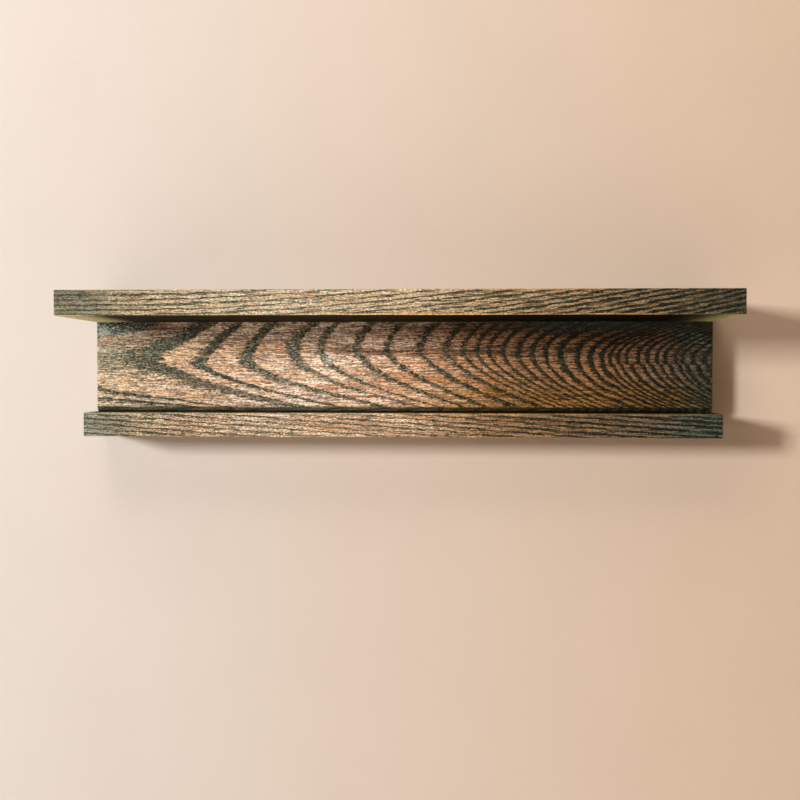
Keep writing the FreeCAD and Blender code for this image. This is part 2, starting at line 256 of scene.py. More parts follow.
# Where the edges cross the heart line of the back board's front face
RING_EDGES = (
    -690, -580, -425, -368, -239, -196, -148, -99, -76, -41, -11, 23, 48, 64, 77, 89, 103, 118, 132, 144,
    160, 176, 189, 200, 207, 215, 223, 235, 244, 253, 261, 271, 278, 288, 300, 310,
)
# The heart line's height along the board
HEART_HEIGHT = (
    (-400, 5), (-239, 11), (-196, 4), (-148, 7), (-99, 14), (-41, 17), (64, 15), (160, 13), (204, 9),
    (235, 11), (310, 9),
)
# How far along the board a ring has run when it meets the upper and the lower edge, by where it starts
UPPER_RUN = (
    (-400, 170), (-239, 62), (-148, 28), (-11, 17), (64, 22), (160, 49), (225, 74), (275, 65), (310, 60),
)
LOWER_RUN = (
    (-400, 300), (-239, 170), (-148, 160), (-76, 138), (-11, 112), (64, 106), (160, 80), (310, 74),
)
# How a ring bends on its way there: 1 is straight, and more is rounder
UPPER_BEND = (
    (-400, 2.0), (-239, 1.0), (-148, 1.5), (-99, 2.8), (-41, 1.6), (64, 2.0), (160, 2.1), (225, 2.1),
    (275, 1.6), (310, 1.5),
)
LOWER_BEND = (
    (-400, 2.6), (-239, 1.6), (-148, 1.5), (-99, 1.9), (-11, 1.5), (160, 2.0), (310, 2.4),
)
# How broad a ring's dark band is, next to the usual
BAND_BREADTH = (
    (-400, 1.0), (-300, 0.95), (-284, 0.86), (-241, 0.86), (-228, 1.04), (-140, 1.04), (-118, 0.84),
    (-98, 0.84), (-90, 1.05), (-44, 1.0), (20, 0.84), (100, 0.92), (180, 1.0), (310, 1.04),
)
RING_DEPTH = 3.0
SOLVE_STEPS = 3
LOWER_ARMS = (-14.0, 12.0)
UPPER_ARMS = (10.0, 26.0)
FIRM_RINGS = (-90, -20)
UPPER_EXTRA = 0.18
FIRM_EXTRA = 0.2
LOWER_LOSS = 0.08
# A fault under the heart line, where the rings are out of step
FAULT_ALONG = (200, 212)
FAULT_HEIGHT = (2.2, 3.0)
FAULT_STEP = 0.35


def back_rings(board):
    """The ring number, and how broad its dark band is next to the usual: more in the upper arms."""
    graph = board.graph
    x, _, z = board.place

    def run(start):
        heart = graph.curve(start, HEART_HEIGHT)
        above = graph.largest(z - heart, 0.0) / (board.high.z - heart)
        below = graph.largest(heart - z, 0.0) / (heart - board.low.z)
        upper = graph.curve(start, UPPER_RUN) * above ** graph.curve(start, UPPER_BEND)
        lower = graph.curve(start, LOWER_RUN) * below ** graph.curve(start, LOWER_BEND)
        return upper + lower

    start = x
    for _ in range(SOLVE_STEPS):
        start = x - run(start)
    edges = [(edge, number) for number, edge in enumerate(RING_EDGES)]
    inward = board.from_front / RING_DEPTH
    fault = graph.rise(x, *FAULT_ALONG) * graph.fall(z, *FAULT_HEIGHT)
    number = graph.curve(start, edges, handles="VECTOR") + inward - fault * FAULT_STEP
    upper = graph.rise(z, *UPPER_ARMS)
    lower = graph.fall(z, *LOWER_ARMS)
    firm = graph.rise(start, *FIRM_RINGS)
    breadth = graph.curve(start, BAND_BREADTH)
    return number, breadth + upper * UPPER_EXTRA + (firm * FIRM_EXTRA - LOWER_LOSS) * lower


def arched_rings(board, pitch, heart_y, arch_radius, climb):
    """Rings that lie nearly flat in a board, bow over its heart line and climb along it."""
    bow = (board.y - heart_y) ** 2.0 / (2 * arch_radius)
    return (board.z - climb + bow) / pitch, 1.0


TOP_RINGS = dict(pitch=4.4, heart_y=-60.0, arch_radius=130.0)
TOP_TURN = -255.0
TOP_STEEPENING = 0.0002
LEDGE_RINGS = dict(pitch=4.7, heart_y=-30.0, arch_radius=95.0)
LEDGE_SLOPE = -0.075


def top_rings(board):
    past_turn = board.graph.largest(board.x - TOP_TURN, 0.0)
    return arched_rings(board, climb=TOP_STEEPENING * past_turn ** 2.0, **TOP_RINGS)


def ledge_rings(board):
    return arched_rings(board, climb=LEDGE_SLOPE * board.x, **LEDGE_RINGS)


# Oak under a dark stain: every tone changes along the board, which took the stain lighter at its left

LIGHT_WOOD = (
    (-305, tone(224, 203, 173)), (-200, tone(232, 199, 168)), (-100, tone(255, 232, 208)),
    (0, tone(254, 217, 186)), (90, tone(194, 146, 110)), (170, tone(160, 117, 86)),
    (240, tone(138, 104, 80)), (305, tone(118, 99, 80)),
)
ORANGE_WOOD = (
    (-305, tone(216, 183, 143)), (-200, tone(228, 180, 134)), (-100, tone(250, 194, 149)),
    (0, tone(235, 171, 121)), (90, tone(196, 134, 78)), (170, tone(170, 116, 66)),
    (240, tone(146, 101, 61)), (305, tone(106, 84, 60)),
)
BROWN_WOOD = (
    (-305, tone(118, 110, 90)), (-200, tone(150, 118, 94)), (-100, tone(158, 124, 100)),
    (0, tone(138, 104, 78)), (90, tone(92, 68, 47)), (170, tone(76, 56, 38)),
    (240, tone(62, 48, 34)), (305, tone(54, 48, 38)),
)
OLIVE_WOOD = (
    (-305, tone(84, 86, 70)), (-200, tone(118, 115, 92)), (0, tone(122, 118, 92)),
    (120, tone(110, 103, 79)), (240, tone(64, 62, 48)), (305, tone(48, 50, 40)),
)
DARK_STAIN = (
    (-305, tone(52, 58, 49)), (-200, tone(50, 56, 47)), (-100, tone(70, 76, 63)),
    (0, tone(52, 56, 45)), (90, tone(35, 41, 32)), (170, tone(26, 33, 26)),
    (240, tone(20, 27, 21)), (305, tone(22, 29, 23)),
)
FLECK = (
    (-305, tone(118, 120, 102)), (-200, tone(112, 114, 97)), (-110, tone(162, 156, 130)),
    (0, tone(150, 140, 112)), (90, tone(92, 87, 66)), (170, tone(58, 58, 45)),
    (240, tone(44, 47, 37)), (305, tone(54, 57, 47)),
)
END_WASH = (
    (-305, tone(156, 158, 138)), (-200, tone(158, 155, 132)),
    (200, tone(76, 78, 66)), (305, tone(84, 77, 62)),
)
WORN_ARRIS = (
    (-305, tone(192, 176, 130)), (0, tone(230, 196, 124)),
    (120, tone(204, 156, 90)), (305, tone(104, 86, 56)),
)
# The share of a ring that its dark band takes, and how ragged the band's start is
BAND_SHARE = ((-305, 0.34), (-100, 0.28), (0, 0.27), (90, 0.36), (200, 0.46), (305, 0.52))
BACK_RAGGED = ((-305, 0.5), (-240, 0.5), (-160, 0.28), (30, 0.28), (130, 0.46), (305, 0.46))
EVENLY_RAGGED = ((-305, 0.3), (-200, 0.4), (305, 0.4))

# How far the finer noises move a ring, as shares of a ring, and how far chance changes a band's breadth
STREAK_WAVER = 0.2
TOOTH_WAVER = 0.22
FLECK_WAVER = 0.14
LEAST_LUCK = 0.85
LUCK_RANGE = 0.3

BAND_START = 0.98
BAND_FULL = 1.03
BAND_GONE = (0.2, 0.9)
FADED_WAVES = (0.48, 0.7)
RIM = (0.02, 0.16)
SALTED = (0.46, 0.58)
ORANGE_STREAKS = (0.42, 0.62)
OLIVE_SPECKS = (0.42, 0.54)
LIGHT_SPECKS = (0.54, 0.68)
BROWN_CLOUDS = (0.5, 0.75)
BROWN_FIBRES = (0.49, 0.58)
BOARD_END = (250, 300)
END_CLOUD_DRIFT = 90
END_FIBRE_DRIFT = 60
WORN_STREAK = 0.45
WORN_DRIFT = 5
WORN_RADIUS = (0.2, 1.1)
GRIT_CONTRAST = 1.8
RELIEF = 0.3
OAK_GLOSS = 0.06


def dark_bands(board, rings, waver, ragged, breadth, fading):
    """How dark the stain lies in a ring's band, and where the clean rim past its sharp edge is."""
    graph = board.graph
    number, spread = rings(board)
    ring = number + swing(board.wave) * waver + swing(board.streak) * STREAK_WAVER
    ring = ring + swing(board.tooth) * TOOTH_WAVER + swing(board.fleck) * FLECK_WAVER
    share = graph.math("FRACT", ring)
    luck = graph.chance(graph.math("FLOOR", ring), board.seed)
    band = graph.curve(board.x, BAND_SHARE) * (luck * LUCK_RANGE + LEAST_LUCK) * breadth * spread
    torn = swing(board.fibre) + swing(board.tooth) + swing(board.fleck)
    onset = share + torn * graph.curve(board.x, ragged)
    dark = graph.rise(onset, BAND_START - band, BAND_FULL - band)
    dark = dark * (1.0 - board.pore * 0.3) * (1.0 - graph.rise(board.wave, *FADED_WAVES) * fading)
    return dark * graph.rise(spread, *BAND_GONE), graph.fall(share, *RIM)


def bare_wood(board, stain, rim, ground, olive):
    """The wood between the bands: light and orange streaks, specks, the board's ground marks, on the back
    board with painted light and shade among them, and pores.
    """
    graph = board.graph
    light, orange, brown, green, end_wash = (
        graph.ramp(board.x, stops) for stops in (LIGHT_WOOD, ORANGE_WOOD, BROWN_WOOD, OLIVE_WOOD, END_WASH))
    from_middle = graph.absolute(board.x) + swing(board.cloud) * END_CLOUD_DRIFT
    from_middle = from_middle + swing(board.fibre) * END_FIBRE_DRIFT
    wood = graph.mix(light, orange, graph.rise(board.streak, *ORANGE_STREAKS))
    wood = graph.mix(wood, orange, rim * 0.6)
    wood = graph.mix(wood, end_wash, graph.rise(from_middle, *BOARD_END) * 0.75)
    wood = graph.mix(wood, green, graph.rise(board.speck, *OLIVE_SPECKS) * olive)
    wood = graph.mix(wood, brown, graph.rise(board.cloud, *BROWN_CLOUDS) * 0.35)
    wood = ground(board, wood)
    wood = graph.mix(wood, brown, graph.rise(board.fibre, *BROWN_FIBRES) * 0.8)
    wood = graph.mix(wood, light, graph.rise(board.speck, *LIGHT_SPECKS) * (0.35 - olive * 0.2))
    return graph.mix(wood, stain, board.pore * 0.85)


def arris_wear(board):
    """How far an arris is rubbed. On an arris, two of the distances to the board's sides are small."""
    graph = board.graph
    from_ends = board.high.x - graph.absolute(board.x)
    from_faces = graph.smallest(board.from_front, board.high.y - board.y)
    from_edges = graph.smallest(board.from_bottom, board.from_top)
    nearer = graph.smallest(from_ends, from_faces)
    farther = graph.largest(from_ends, from_faces)
    second = graph.largest(nearer, graph.smallest(farther, from_edges))
    return graph.fall(second + (board.streak - WORN_STREAK) * WORN_DRIFT, *WORN_RADIUS) * 0.5


def oak(board, rings, ground, shade, waver, ragged, breadth, fading, flecked, olive):
    """Stained oak over a board: dark bands at the rings, pores and streaks along x, and worn arrises.

    The rings waver by a share of a ring. The bands have a breadth, start ragged, fade in places and are
    flecked with bare wood. Olive specks lie between them. The board's marks, painted light and shade among
    them, lie under the bands as its ground, and over them as its shade.
    """
    graph = board.graph
    stain = graph.ramp(board.x, DARK_STAIN)
    dark, rim = dark_bands(board, rings, waver, ragged, breadth, fading)
    salted = graph.rise(board.salt * 0.7 + board.fleck * 0.3, *SALTED) * flecked
    charred = graph.mix(stain, graph.ramp(board.x, FLECK), salted)
    colour = graph.mix(bare_wood(board, stain, rim, ground, olive), charred, dark)
    colour = graph.mix(colour, graph.ramp(board.x, WORN_ARRIS), arris_wear(board))
    colour = shade(board, colour)
    colour = graph.mix(colour, 1.0 + swing(board.grit) * GRIT_CONTRAST, 1.0, blend="MULTIPLY")
    graph.bump(board.fibre * 0.3 - board.pore * 0.4 - dark * 0.4 - board.fleck * dark * 0.4, RELIEF)
    roughness = 0.6 + dark * 0.2 + board.fibre * 0.1
    graph.set(base_color=colour, roughness=roughness, specular_ior_level=OAK_GLOSS)
    return graph.material


# Marks at the ends, on more than one board

SMOKE_LIGHT = tone(134, 128, 105)
SMOKE_DARK = tone(54, 57, 46)
SMOKE_FIBRES = (0.4, 0.56)
SMOKE_TO = (-290, -215)
SMOKE_DRIFT = 90
GREY_BLEND = 30
GREY_DRIFT = 60


def smoky_left(board, wood, share):
    """Smoky towards the left end."""
    graph = board.graph
    left = graph.fall(board.x + swing(board.streak) * SMOKE_DRIFT, *SMOKE_TO)
    smoke = graph.mix(SMOKE_LIGHT, SMOKE_DARK, graph.rise(board.fibre, *SMOKE_FIBRES))
    return graph.mix(wood, smoke, left * share)


def grey_right(board, wood, grey, start, share):
    """Grey towards the right end."""
    right = board.graph.rise(board.x + swing(board.streak) * GREY_DRIFT, start, start + GREY_BLEND)
    return board.graph.mix(wood, grey, right * share)


# The back board's ground

BACK_DRIFT = 8
FRONT_DEPTH = (2.0, 11.0)

# Painted light: a pale tone along the back board's upper edge that takes back the top board's shadow there
PAINTED_LIGHT = tone(255, 240, 220)
PAINTED_LIGHT_FROM = (-245, -215)
PAINTED_LIGHT_TO = (-40, 90)
PAINTED_LIGHT_STRAY = 6
PAINTED_LIGHT_ABOVE = (22, 36)

BACK_SMOKE_LIGHT = tone(164, 132, 108)
BACK_SMOKE_DARK = tone(78, 68, 54)
BACK_SMOKE_FIBRES = (0.46, 0.56)
BACK_SMOKE_ABOVE = (16, 24)
BACK_SMOKE_TO = (-235, -200)
BACK_SMOKE_STRAY = 5

HEART_BROWN = tone(92, 67, 52)
HEART_FIBRES = (0.36, 0.52)
HEART_ABOVE = (8, 14)
HEART_UNDER = (17, 25)
HEART_FROM = (-110, -40)
HEART_TO = (110, 170)

# Painted shade of the top board along the back board's upper edge towards the right, in a grey-green tone
UPPER_SHADE_LIGHT = tone(108, 122, 112)
UPPER_SHADE_DARK = tone(72, 82, 75)
UPPER_SHADE_FIBRES = (0.4, 0.5)
UPPER_SHADE_FROM = (40, 190)
UPPER_SHADE_STRAY = 6
UPPER_SHADE_ABOVE = (31, 40)
UPPER_SHADE_WIDENS = (235, 310)
UPPER_SHADE_WIDENING = 18

LOW_HALF = (-12, 4)
WARM_WOOD = tone(226, 188, 150)
WARM_TO = (-285, -240)
WARM_STRAY = 5
CORNER_GREY = tone(54, 65, 60)
CORNER_FROM = 274


def back_drift(board):
    """How far the back board's marks stray from their places in height. Along the grain they stray more."""
    return swing(board.streak) * BACK_DRIFT


def front_face(board):
    return board.graph.fall(board.from_front, *FRONT_DEPTH)


def back_ground(board, wood):
    """Pale in painted light at the upper edge, brown at the heart line, and smoky, warm, grey-green in
    painted shade of the top board, and grey towards its corners.
    """
    graph = board.graph
    x, _, z = board.place
    drift = back_drift(board)
    height = z + drift

    # Painted light along the upper edge, against the shadow of the top board
    painted_light = graph.rise(x, *PAINTED_LIGHT_FROM) * graph.fall(x + drift * PAINTED_LIGHT_STRAY, *PAINTED_LIGHT_TO)
    wood = graph.mix(wood, PAINTED_LIGHT, painted_light * graph.rise(height, *PAINTED_LIGHT_ABOVE) * 0.8)

    smoke = graph.mix(BACK_SMOKE_LIGHT, BACK_SMOKE_DARK, graph.rise(board.fibre, *BACK_SMOKE_FIBRES))
    upper_left = graph.fall(x + drift * BACK_SMOKE_STRAY, *BACK_SMOKE_TO)
    wood = graph.mix(wood, smoke, graph.rise(height, *BACK_SMOKE_ABOVE) * upper_left * 0.8)

    heart = graph.rise(height, *HEART_ABOVE) * graph.fall(height, *HEART_UNDER)
    heart = heart * graph.rise(x, *HEART_FROM) * graph.fall(x, *HEART_TO)
    wood = graph.mix(wood, HEART_BROWN, heart * graph.rise(board.fibre, *HEART_FIBRES) * 0.7)

    # Painted shade under the top board towards the upper right, laid under the bands
    painted_shade = graph.mix(UPPER_SHADE_LIGHT, UPPER_SHADE_DARK, graph.rise(board.fibre, *UPPER_SHADE_FIBRES))
    widening = graph.rise(x, *UPPER_SHADE_WIDENS) * UPPER_SHADE_WIDENING
    upper_right = graph.rise(x + drift * UPPER_SHADE_STRAY, *UPPER_SHADE_FROM)
    upper_right = upper_right * graph.rise(height + widening, *UPPER_SHADE_ABOVE)
    wood = graph.mix(wood, painted_shade, front_face(board) * upper_right * 0.9)

    low_half = graph.fall(height, *LOW_HALF)
    lower_left = low_half * graph.fall(x + drift * WARM_STRAY, *WARM_TO)
    wood = graph.mix(wood, WARM_WOOD, lower_left * 0.6)
    return grey_right(board, wood, CORNER_GREY, CORNER_FROM, low_half * 0.85)


# The back board's shade

GOLD = tone(255, 246, 212)
GOLD_FROM = (-40, 110)
GOLD_UNDER = (-30, 0)
GLINT = tone(196, 142, 62)
GLINT_STREAKS = (0.5, 0.62)
GLINT_FLECKS = (0.44, 0.56)
GLINT_TO = (170, 260)

DASH = ((-305, tone(84, 76, 62)), (0, tone(66, 52, 40)), (150, tone(34, 28, 20)), (305, tone(26, 24, 18)))
DASH_SIZES = (10, 1.0, 1.0)
DASH_SEED = 91.7
DASH_LEVEL = (0.56, 0.63)
DASHES_ABOVE = (-12, 14)
DASHES_FROM = (0, 120)

# Painted shadow of the top board's overhang on the back board, and painted shade along its upper edge
OVERHANG_SHADOW = tone(26, 26, 20)
DIM_FROM = (-60, 200)
DIM_ABOVE = (-20, 44)
DIM_CLEARS = (205, 290)
UPPER_EDGE = (
    (-70, tone(34, 32, 26)), (60, tone(42, 43, 37)), (160, tone(66, 75, 68)), (305, tone(66, 75, 68)),
)
UPPER_EDGE_FROM = (-70, 60)
UPPER_EDGE_STRAY = 4
UPPER_EDGE_ABOVE = (28, 40)

BLOT_DARK = tone(40, 46, 46)
BLOT_LIGHT = tone(140, 146, 138)
BLOT_FLECKS = (0.46, 0.64)
BLOT_ABOVE = (27, 31)
BLOT_SLOPE = 0.12
BLOT_TO = (-258, -228)
BLOT_STRAY = 4
BLOT_SPECKLE = 8
RUBBED = tone(160, 168, 150)
RUBBED_PLACE = (-298, 33)
RUBBED_REACH = (3, 11)
SPOT = tone(206, 204, 190)
SPOT_PLACE = (-71, 9)
SPOT_REACH = (4, 11)
SPOT_FLECKS = (0.44, 0.54)

# Fine cracks, dark with stain: height, and where each one starts and ends
CRACKS = ((36.3, -75, 30), (38.0, -300, -180), (15.6, -90, 150), (2.6, 205, 290))
CRACK = tone(44, 42, 32)
CRACK_WIDTH = (0.2, 1.3)
CRACK_TAPER = 25
CRACK_FLECKS = (0.36, 0.5)

# Painted shade on the chamfer that faces down at the back board's lower front edge, and nearly black
# painted shade in the crease under it
CHAMFER_SHADE = (
    (-305, tone(66, 76, 54)), (0, tone(54, 62, 40)), (150, tone(34, 38, 23)), (305, tone(27, 31, 20)),
)
CHAMFER_HEIGHT = (4.3, 5.7)
CHAMFER_CLEARS = (272, 292)
CREASE_SHADE = tone(6, 7, 4)
CREASE_HEIGHT = (0.5, 1.9)


def golden(board, colour):
    """A golden cast towards the lower right, with glints."""
    graph = board.graph
    gold = graph.rise(board.x, *GOLD_FROM) * graph.fall(board.z + back_drift(board), *GOLD_UNDER)
    colour = graph.mix(colour, GOLD, gold, blend="MULTIPLY")
    glint = gold * graph.rise(board.streak, *GLINT_STREAKS) * graph.rise(board.fleck, *GLINT_FLECKS)
    return graph.mix(colour, GLINT, glint * graph.fall(board.x, *GLINT_TO) * 0.35)


def dashed(board, colour):
    """Short dark dashes along the grain, more of them towards the upper right."""
    graph = board.graph
    dash = graph.grain(board.place, DASH_SIZES, DASH_SEED, detail=1)
    strength = 0.3 + graph.rise(board.z, *DASHES_ABOVE) * (0.35 + graph.rise(board.x, *DASHES_FROM) * 0.25)
    return graph.mix(colour, graph.ramp(board.x, DASH), graph.rise(dash, *DASH_LEVEL) * strength)


def dimmed(board, colour):
    """Painted shadow of the top board towards the upper right, deepest along the upper edge, and less of it
    again at the end.
    """
    graph = board.graph
    drift = back_drift(board)
    height = board.z + drift
    # Painted shadow of the top board, then painted shade along the upper edge
    clear = 1.0 - graph.rise(board.x, *DIM_CLEARS) * 0.8
    dim = graph.rise(board.x, *DIM_FROM) * graph.rise(height, *DIM_ABOVE) * clear
    colour = graph.mix(colour, OVERHANG_SHADOW, dim * 0.5)
    edge = graph.rise(board.x + drift * UPPER_EDGE_STRAY, *UPPER_EDGE_FROM)
    edge = edge * graph.rise(height, *UPPER_EDGE_ABOVE)
    return graph.mix(colour, graph.ramp(board.x, UPPER_EDGE), edge * (0.25 + clear * 0.3))


def blotted(board, colour):
    """A speckled blot in the upper left corner of the front, rubbed at the end, and a pale spot."""
    graph = board.graph
    x, _, z = board.place
    front = front_face(board)
    drift = back_drift(board)
    speckled = drift * 0.5 + swing(board.fleck) * BLOT_SPECKLE

    def patch(centre, reach):
        along = graph.absolute(x - centre[0] + speckled)
        return graph.fall(along + graph.absolute(z - centre[1]), *reach)

    sloping = z - (x - board.low.x) * BLOT_SLOPE + speckled
    corner = graph.rise(sloping, *BLOT_ABOVE) * graph.fall(x + drift * BLOT_STRAY, *BLOT_TO)
    blot = graph.mix(BLOT_DARK, BLOT_LIGHT, graph.rise(board.fleck, *BLOT_FLECKS))
    blot = graph.mix(blot, RUBBED, patch(RUBBED_PLACE, RUBBED_REACH) * 0.7)
    colour = graph.mix(colour, blot, front * corner * 0.9)
    spot = front * patch(SPOT_PLACE, SPOT_REACH) * graph.rise(board.fleck, *SPOT_FLECKS)
    return graph.mix(colour, SPOT, spot * 0.75)


def cracked(board, colour):
    graph = board.graph
    stray = back_drift(board) * 0.2
    for height, start, stop in CRACKS:
        across = graph.fall(graph.absolute(board.z - height + stray), *CRACK_WIDTH)
        along = graph.rise(board.x, start, start + CRACK_TAPER)
        along = along * graph.fall(board.x, stop - CRACK_TAPER, stop)
        colour = graph.mix(colour, CRACK, across * along * graph.rise(board.fleck, *CRACK_FLECKS) * 0.6)
    return colour


def chamfered(board, colour):
    """Painted shade on the chamfer of the lower front edge, and nearly black painted shade in the crease
    under it.
    """
    graph = board.graph
    shade_share = front_face(board) * (1.0 - graph.rise(board.x, *CHAMFER_CLEARS) * 0.85)
    chamfer = shade_share * graph.fall(board.from_bottom, *CHAMFER_HEIGHT)
    colour = graph.mix(colour, graph.ramp(board.x, CHAMFER_SHADE), chamfer * 0.8)
    return graph.mix(colour, CREASE_SHADE, shade_share * graph.fall(board.from_bottom, *CREASE_HEIGHT))


def back_shade(board, colour):
    for mark in (golden, dashed, dimmed, blotted, cracked, chamfered):
        colour = mark(board, colour)
    return colour


# The top board's ground and shade

OLIVE_WASH = (
    (-305, tone(116, 114, 94)), (-190, tone(186, 178, 150)), (0, tone(190, 180, 150)),
    (150, tone(166, 145, 110)), (305, tone(90, 77, 56)),
)
# Painted shade on the top board's underside, nearly black in the middle, with painted light towards both
# ends
UNDERSIDE_SHADE_AND_LIGHT = (
    (-305, tone(208, 202, 162)), (-286, tone(198, 188, 142)), (-262, tone(38, 32, 20)),
    (-60, tone(28, 23, 14)), (80, tone(8, 7, 4)), (255, tone(4, 4, 3)), (276, tone(60, 56, 32)),
    (305, tone(196, 188, 132)),
)
UNDERSIDE_DRIFT = 30
# Distances from the underside, the front and, for the upper arris, the top
UNDERSIDE_HEIGHT = (0.1, 0.5)
LOWER_ARRIS_ABOVE = (0.0, 0.3)
LOWER_ARRIS_UNDER = (0.7, 1.7)
LOWER_ARRIS_DEPTH = (0.5, 2.0)
BROW_HEIGHT = (0.7, 1.5)
BROW_DEPTH = (0.8, 1.8)
LOWER_ARRIS_STREAKS = (0.44, 0.58)
LOWER_ARRIS_FROM = (-140, 20)
BROW = tone(196, 150, 74)
BROW_FROM = (-90, -20)
BROW_TO = (130, 220)
BROW_STREAKS = (0.38, 0.52)


def top_ground(board, wood):
    """Greyer than the other boards, and smoky towards the left end."""
    wood = board.graph.mix(wood, board.graph.ramp(board.x, OLIVE_WASH), 0.5)
    return smoky_left(board, wood, 0.85)


def top_shade(board, colour):
    """The underside is painted nearly black as shade, with painted light at its ends, and the front arrises
    are worn through.
    """
    graph = board.graph
    height = board.from_bottom
    along = board.x + swing(board.streak) * UNDERSIDE_DRIFT
    # Painted shade and painted light on the underside
    colour = graph.mix(colour, graph.ramp(along, UNDERSIDE_SHADE_AND_LIGHT), graph.fall(height, *UNDERSIDE_HEIGHT))

    arris = graph.fall(height, *LOWER_ARRIS_UNDER) * graph.rise(height, *LOWER_ARRIS_ABOVE)
    arris = arris * graph.fall(board.from_front, *LOWER_ARRIS_DEPTH)
    worn = graph.rise(board.streak, *LOWER_ARRIS_STREAKS)
    worn = worn * (0.3 + graph.rise(board.x, *LOWER_ARRIS_FROM) * 0.6)
    colour = graph.mix(colour, graph.ramp(board.x, WORN_ARRIS), arris * worn)

    brow = graph.fall(board.from_top, *BROW_HEIGHT) * graph.fall(board.from_front, *BROW_DEPTH)
    brow = brow * graph.rise(along, *BROW_FROM) * graph.fall(along, *BROW_TO)
    return graph.mix(colour, BROW, brow * graph.rise(board.streak, *BROW_STREAKS) * 0.6)


# The ledge's ground and shade

LEDGE_GREY = tone(112, 112, 94)
LEDGE_GREY_FROM = (60, 290)
LEDGE_END_GREY = tone(82, 88, 77)
LEDGE_END_FROM = 250
LEDGE_LEFT_GREY = tone(150, 154, 138)
LEDGE_LEFT_TO = (-290, -262)
# Painted shade on the ledge's upper side, under the top board and beside the back board
LEDGE_TOP_SHADE = tone(10, 10, 7)
# Distances from the top and the front
LEDGE_SHADE_HEIGHT = (0.1, 0.3)
LEDGE_SHADE_DEPTH = (3.0, 12.0)
LEDGE_ARRIS_HEIGHT = (0.9, 2.1)
LEDGE_ARRIS_DEPTH = (1.0, 3.0)
LEDGE_ARRIS_STREAKS = (0.42, 0.6)


def ledge_ground(board, wood):
    """Grey towards both ends, and a little smoky at the left one."""
    graph = board.graph
    along = board.x + swing(board.streak) * GREY_DRIFT
    wood = graph.mix(wood, LEDGE_GREY, graph.rise(along, *LEDGE_GREY_FROM) * 0.4)
    wood = grey_right(board, wood, LEDGE_END_GREY, LEDGE_END_FROM, 0.9)
    wood = graph.mix(wood, LEDGE_LEFT_GREY, graph.fall(along, *LEDGE_LEFT_TO) * 0.8)
    return smoky_left(board, wood, 0.3)


def ledge_shade(board, colour):
    """Painted shade on the upper side by the back board, under the top board, and the front arris is worn.
    """
    graph = board.graph
    # Painted shade darkens the upper side behind its front
    shaded_top = graph.fall(board.from_top, *LEDGE_SHADE_HEIGHT) * graph.rise(board.from_front, *LEDGE_SHADE_DEPTH)
    colour = graph.mix(colour, LEDGE_TOP_SHADE, shaded_top * 0.9)
    arris = graph.fall(board.from_top, *LEDGE_ARRIS_HEIGHT)
    arris = arris * graph.fall(board.from_front, *LEDGE_ARRIS_DEPTH)
    worn = graph.rise(board.streak, *LEDGE_ARRIS_STREAKS)
    return graph.mix(colour, graph.ramp(board.x, WORN_ARRIS), arris * worn * 0.7)


# Dowels and hardware

BEECH_PALE = tone(222, 184, 140)
BEECH_BROWN = tone(186, 138, 94)
BEECH_RAY = tone(150, 104, 66)
BEECH_FIBRES = (0.35, 0.7)
BEECH_RAYS = (0.62, 0.72)
BEECH_RELIEF = 0.1
ZINC_BRIGHT = tone(196, 198, 200)
ZINC_DULL = tone(150, 154, 160)
STEEL_BRIGHT = tone(176, 172, 164)
STEEL_DULL = tone(128, 124, 118)
DULL_CLOUDS = (0.35, 0.7)
SCRATCH_RELIEF = 0.03


def beech(name):
    graph = Graph(name)
    place = graph.place()
    fibre = graph.grain(place, (0.5, 0.5, 7), seed=3.1)
    ray = graph.grain(place, (0.4, 1.2, 2.5), seed=9.7, detail=1)
    colour = graph.mix(BEECH_PALE, BEECH_BROWN, graph.rise(fibre, *BEECH_FIBRES))
    colour = graph.mix(colour, BEECH_RAY, graph.rise(ray, *BEECH_RAYS) * 0.6)
    graph.bump(fibre, BEECH_RELIEF)
    graph.set(base_color=colour, roughness=0.55 + fibre * 0.15)
    return graph.material


def plated_steel(name, bright, dull, seed):
    graph = Graph(name)
    place = graph.place()
    cloud = graph.grain(place, (5, 5, 5), seed, detail=4)
    scratch = graph.grain(place, (0.25, 0.25, 9), seed + 5.3, detail=3)
    colour = graph.mix(bright, dull, graph.rise(cloud, *DULL_CLOUDS))
    graph.bump(scratch, SCRATCH_RELIEF)
    graph.set(base_color=colour, metallic=1.0, roughness=0.28 + cloud * 0.2 + scratch * 0.1)
    return graph.material


# The finishes on their pieces

def dress(node, material):
    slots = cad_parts[node].data.materials
    slots.clear()
    slots.append(material)


def dress_boards():
    top = oak(Board("top_board", "top_oak", seed=0.0), top_rings, top_ground, top_shade,
              waver=0.9, ragged=EVENLY_RAGGED, breadth=1.1, fading=0.4, flecked=0.45, olive=0.94)
    back = oak(Board("back_board", "back_oak", seed=71.0), back_rings, back_ground, back_shade,
               waver=0.15, ragged=BACK_RAGGED, breadth=1.0, fading=0.12, flecked=0.9, olive=0.0)
    ledge = oak(Board("bottom_ledge", "ledge_oak", seed=143.0), ledge_rings, ledge_ground, ledge_shade,
                waver=0.8, ragged=EVENLY_RAGGED, breadth=1.0, fading=0.4, flecked=0.5, olive=0.8)
    dress("top_board", top)
    dress("back_board", back)
    dress("bottom_ledge", ledge)


def dress_hardware():
    dowel = beech("beech")
    zinc = plated_steel("zinc_plate", ZINC_BRIGHT, ZINC_DULL, seed=2.0)
    hanger_steel = plated_steel("hanger_steel", STEEL_BRIGHT, STEEL_DULL, seed=8.0)
    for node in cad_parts:
        if "dowel" in node:
            dress(node, dowel)
        elif "plate" in node:
            dress(node, hanger_steel)
        elif "screw" in node:
            dress(node, zinc)


dress_boards()
dress_hardware()


# The stage: a wall open behind the shelf, and a floor

